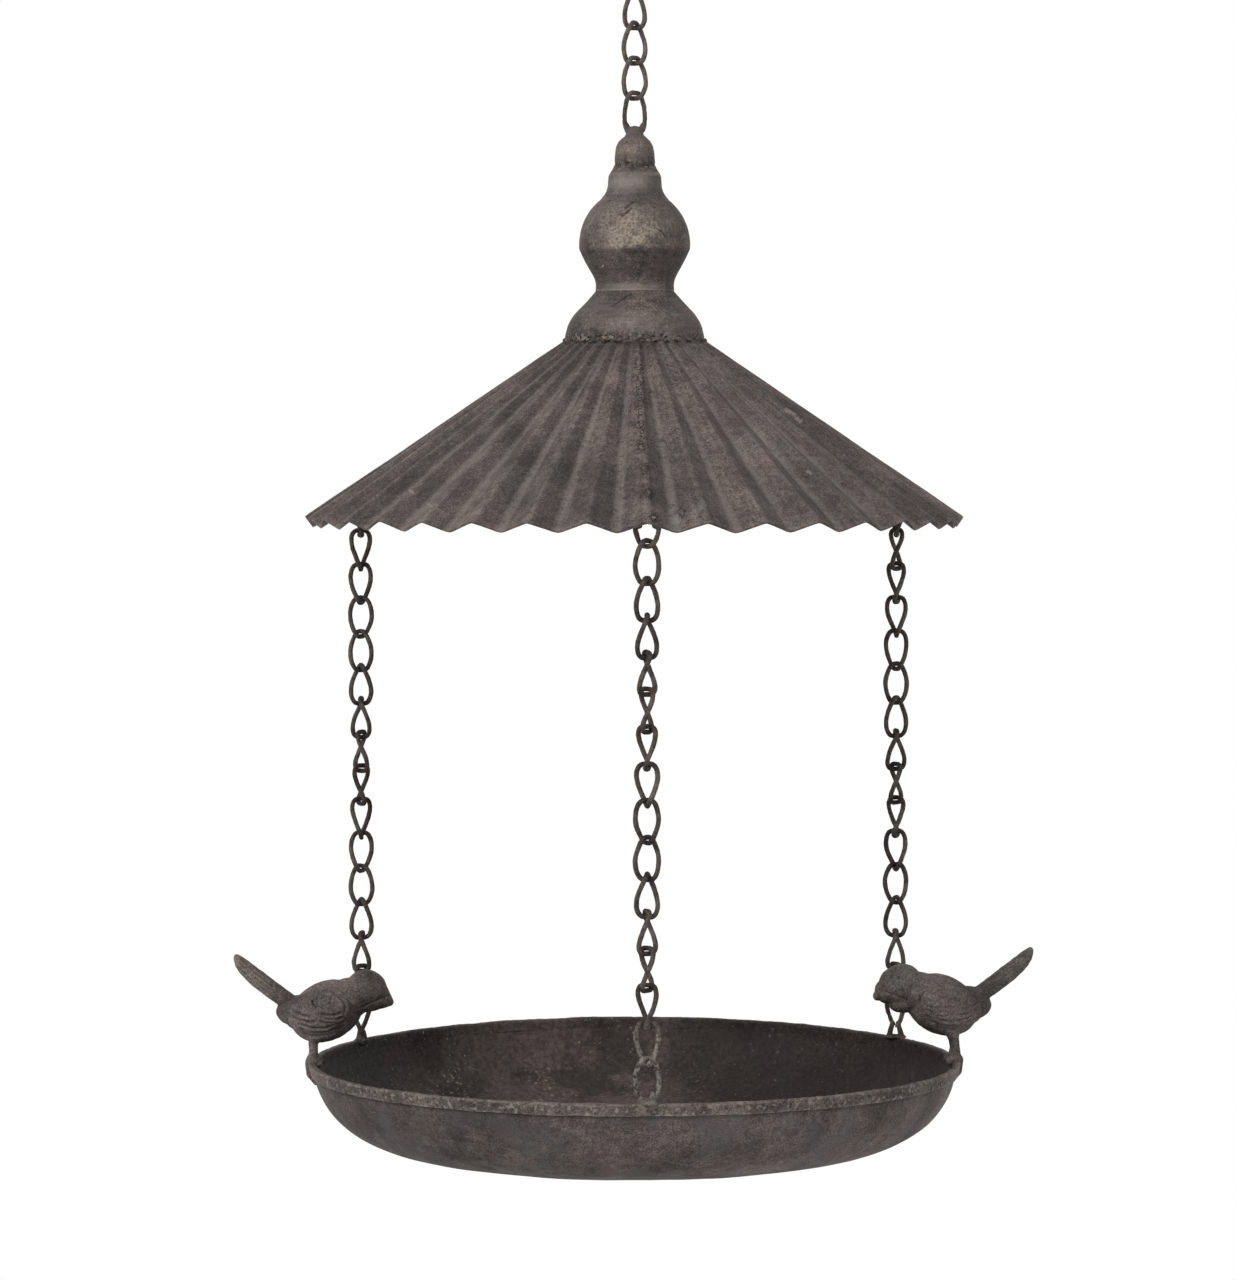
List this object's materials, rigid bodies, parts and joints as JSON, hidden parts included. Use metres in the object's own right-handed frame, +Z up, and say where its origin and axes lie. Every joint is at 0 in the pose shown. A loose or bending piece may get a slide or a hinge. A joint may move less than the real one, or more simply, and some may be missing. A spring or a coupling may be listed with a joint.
{
  "type": "hanging bird feeder",
  "caption": "Hanging bird feeder: fluted conical sheet roof under a pressed finial, chains down to a shallow round dish with cast birds on its rim.",
  "frame": {"origin": "where the hanging hook's upper bend bears on what carries it, at the top of the bend's inner side", "axes": "+Z up along the hanging axis, front chain towards -Y, birds at -X and +X"},
  "size_m": [0.367, 0.3014, 0.585],
  "materials": {
    "chain_wire": "aged dark brown iron wire, rubbed lighter where links touch",
    "finial_sheet": "aged dark brown pressed iron, rubbed to a dull tan on the bulb",
    "roof_sheet": "aged dark brown iron sheet, rubbed lighter on the ridges",
    "dish_sheet": "aged dark brown iron sheet with a worn rim",
    "cast_birds": "aged dark brown cast iron with lighter high spots"
  },
  "bodies": {
    "hook": {"hanging_hook": "chain_wire"},
    "top_link_1": {"top_link_1": "chain_wire"},
    "top_chain": {"top_link_2": "chain_wire", "top_link_3": "chain_wire", "top_link_4": "chain_wire"},
    "roof": {"finial_eye": "chain_wire", "finial_knob": "finial_sheet", "finial_upper_bulb": "finial_sheet", "finial_lower_bulb": "finial_sheet", "finial_flare": "finial_sheet", "finial_weld": "finial_sheet", "roof": "roof_sheet", "seam_rivets": "roof_sheet", "front_roof_eye": "chain_wire", "left_roof_eye": "chain_wire", "right_roof_eye": "chain_wire"},
    "front_top_link": {"front_top_link": "chain_wire"},
    "front_chain": {"front_chain": "chain_wire"},
    "front_bottom_link": {"front_bottom_link": "chain_wire"},
    "right_top_link": {"right_top_link": "chain_wire"},
    "right_chain": {"right_chain": "chain_wire"},
    "right_bottom_link": {"right_bottom_link": "chain_wire"},
    "left_top_link": {"left_top_link": "chain_wire"},
    "left_chain": {"left_chain": "chain_wire"},
    "left_bottom_link": {"left_bottom_link": "chain_wire"},
    "dish": {"dish_bottom": "dish_sheet", "dish_corner": "dish_sheet", "dish_wall": "dish_sheet", "dish_rim": "dish_sheet", "front_rim_eye": "chain_wire", "left_rim_eye": "chain_wire", "right_rim_eye": "chain_wire", "left_bird": "cast_birds", "right_bird": "cast_birds"}
  },
  "joints": [
    {"name": "swing_sideways", "type": "hinge", "parent": "hook", "child": "top_link_1", "pos_m": [0, 0, -0.03887], "axis": [0, 1, 0], "range_deg": [-15, 15]},
    {"name": "swing_front_back", "type": "hinge", "parent": "top_link_1", "child": "top_chain", "pos_m": [0, 0, -0.05468], "axis": [1, 0, 0], "range_deg": [-15, 15]},
    {"name": "spin", "type": "hinge", "parent": "top_chain", "child": "roof", "pos_m": [0, 0, -0.10207], "axis": [0, 0, 1], "range_deg": [-13, 13]},
    {"name": "dish_sway_front_back", "type": "hinge", "parent": "roof", "child": "front_top_link", "pos_m": [0, -0.1458, -0.30205], "axis": [1, 0, 0], "range_deg": [-12, 12]},
    {"name": "right_chain_front_back", "type": "hinge", "parent": "roof", "child": "right_top_link", "pos_m": [0.12627, 0.0729, -0.30205], "axis": [1, 0, 0], "range_deg": [-12, 12]},
    {"name": "left_chain_front_back", "type": "hinge", "parent": "roof", "child": "left_top_link", "pos_m": [-0.12627, 0.0729, -0.30205], "axis": [1, 0, 0], "range_deg": [-12, 12]},
    {"name": "dish_sway_sideways", "type": "hinge", "parent": "front_top_link", "child": "front_chain", "pos_m": [0, -0.1458, -0.31785], "axis": [0, 1, 0], "range_deg": [-12, 12]},
    {"name": "right_chain_sideways", "type": "hinge", "parent": "right_top_link", "child": "right_chain", "pos_m": [0.12627, 0.0729, -0.31785], "axis": [0, 1, 0], "range_deg": [-12, 12]},
    {"name": "left_chain_sideways", "type": "hinge", "parent": "left_top_link", "child": "left_chain", "pos_m": [-0.12627, 0.0729, -0.31785], "axis": [0, 1, 0], "range_deg": [-12, 12]},
    {"name": "front_bottom_link_level", "type": "hinge", "parent": "front_chain", "child": "front_bottom_link", "pos_m": [0, -0.1458, -0.50745], "axis": [0, 1, 0], "range_deg": [-12, 12]},
    {"name": "right_bottom_link_level", "type": "hinge", "parent": "right_chain", "child": "right_bottom_link", "pos_m": [0.12627, 0.0729, -0.50745], "axis": [0, 1, 0], "range_deg": [-12, 12]},
    {"name": "left_bottom_link_level", "type": "hinge", "parent": "left_chain", "child": "left_bottom_link", "pos_m": [-0.12627, 0.0729, -0.50745], "axis": [0, 1, 0], "range_deg": [-12, 12]},
    {"name": "dish_level", "type": "hinge", "parent": "front_bottom_link", "child": "dish", "pos_m": [0, -0.1458, -0.52325], "axis": [1, 0, 0], "range_deg": [-12, 12]}
  ],
  "couplings": [
    {"joint": "right_chain_front_back", "follows": "dish_sway_front_back", "ratio": 1},
    {"joint": "left_chain_front_back", "follows": "dish_sway_front_back", "ratio": 1},
    {"joint": "right_chain_sideways", "follows": "dish_sway_sideways", "ratio": 1},
    {"joint": "left_chain_sideways", "follows": "dish_sway_sideways", "ratio": 1},
    {"joint": "front_bottom_link_level", "follows": "dish_sway_sideways", "ratio": -1},
    {"joint": "right_bottom_link_level", "follows": "dish_sway_sideways", "ratio": -1},
    {"joint": "left_bottom_link_level", "follows": "dish_sway_sideways", "ratio": -1},
    {"joint": "dish_level", "follows": "dish_sway_front_back", "ratio": -1}
  ]
}
